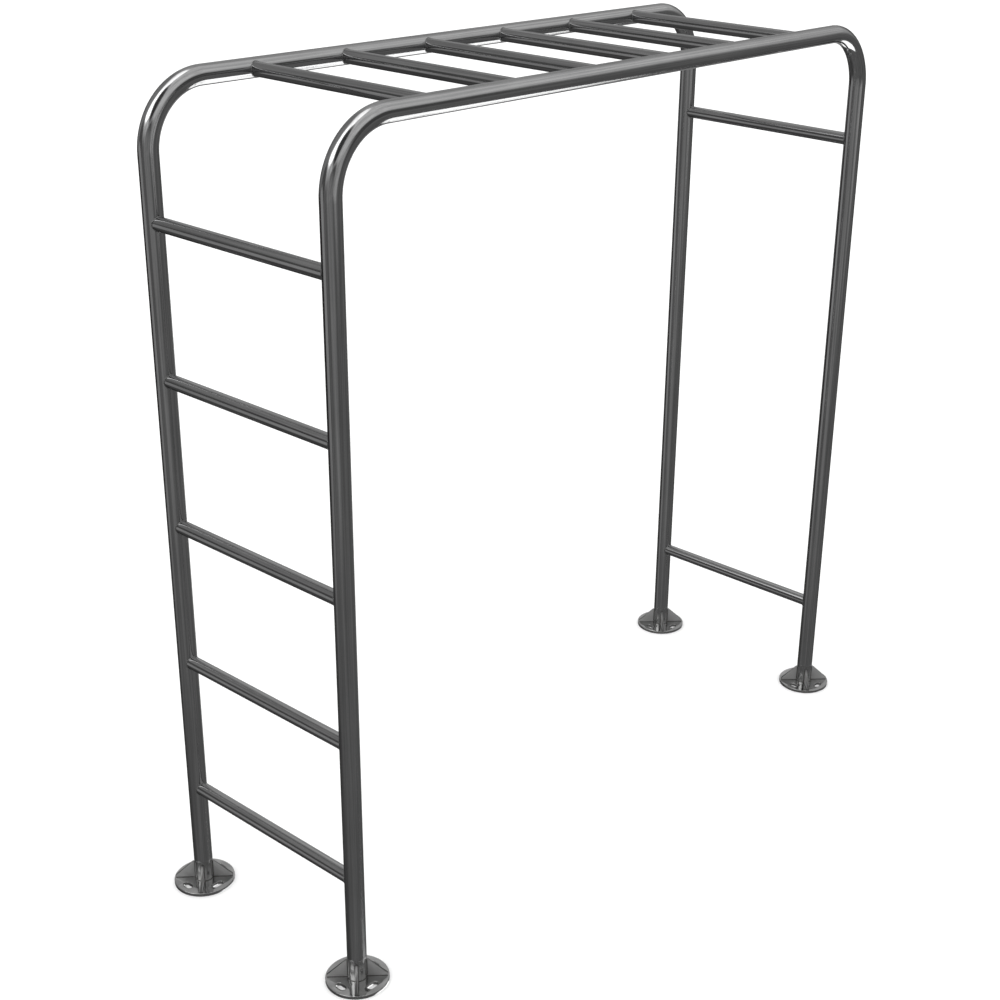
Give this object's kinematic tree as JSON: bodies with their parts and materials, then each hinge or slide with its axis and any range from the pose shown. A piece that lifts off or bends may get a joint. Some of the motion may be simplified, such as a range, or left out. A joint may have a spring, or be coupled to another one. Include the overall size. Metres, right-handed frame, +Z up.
{
  "type": "monkey bars",
  "caption": "Free-standing monkey bars in brushed steel tube, with a ladder at one end, hand rungs between two bent top rails and round slotted base plates.",
  "frame": {"origin": "on the ground in the middle of the four feet", "axes": "+X along the top rails from the ladder end to the far end, +Y across to the back side frame, +Z up"},
  "size_m": [2.158, 0.758, 2.13],
  "materials": {
    "brushed_tube": "stainless tube brushed along its length",
    "rung_steel": "stainless tube brushed along its length, slightly smoother than the posts",
    "polished_foot": "polished stainless plate and collar",
    "weld": "cleaned weld bead"
  },
  "bodies": {
    "root": {"post_front_ladder": "brushed_tube", "post_back_ladder": "brushed_tube", "post_front_far": "brushed_tube", "post_back_far": "brushed_tube", "bend_front_ladder": "brushed_tube", "bend_back_ladder": "brushed_tube", "bend_front_far": "brushed_tube", "bend_back_far": "brushed_tube", "rail_front": "brushed_tube", "rail_back": "brushed_tube", "ladder_rung_1": "rung_steel", "ladder_rung_2": "rung_steel", "ladder_rung_3": "rung_steel", "ladder_rung_4": "rung_steel", "ladder_rung_5": "rung_steel", "far_rung_low": "rung_steel", "far_rung_high": "rung_steel", "hand_rung_1": "rung_steel", "hand_rung_2": "rung_steel", "hand_rung_3": "rung_steel", "hand_rung_4": "rung_steel", "hand_rung_5": "rung_steel", "hand_rung_6": "rung_steel", "flange_front_ladder": "polished_foot", "flange_back_ladder": "polished_foot", "flange_front_far": "polished_foot", "flange_back_far": "polished_foot", "collar_front_ladder": "polished_foot", "collar_back_ladder": "polished_foot", "collar_front_far": "polished_foot", "collar_back_far": "polished_foot", "fin_front_ladder_1": "polished_foot", "fin_front_ladder_2": "polished_foot", "fin_front_ladder_3": "polished_foot", "fin_front_ladder_4": "polished_foot", "fin_back_ladder_1": "polished_foot", "fin_back_ladder_2": "polished_foot", "fin_back_ladder_3": "polished_foot", "fin_back_ladder_4": "polished_foot", "fin_front_far_1": "polished_foot", "fin_front_far_2": "polished_foot", "fin_front_far_3": "polished_foot", "fin_front_far_4": "polished_foot", "fin_back_far_1": "polished_foot", "fin_back_far_2": "polished_foot", "fin_back_far_3": "polished_foot", "fin_back_far_4": "polished_foot", "foot_weld_front_ladder": "weld", "foot_weld_back_ladder": "weld", "foot_weld_front_far": "weld", "foot_weld_back_far": "weld", "ladder_rung_welds": "weld", "far_rung_welds": "weld", "hand_rung_welds": "weld"}
  },
  "joints": []
}
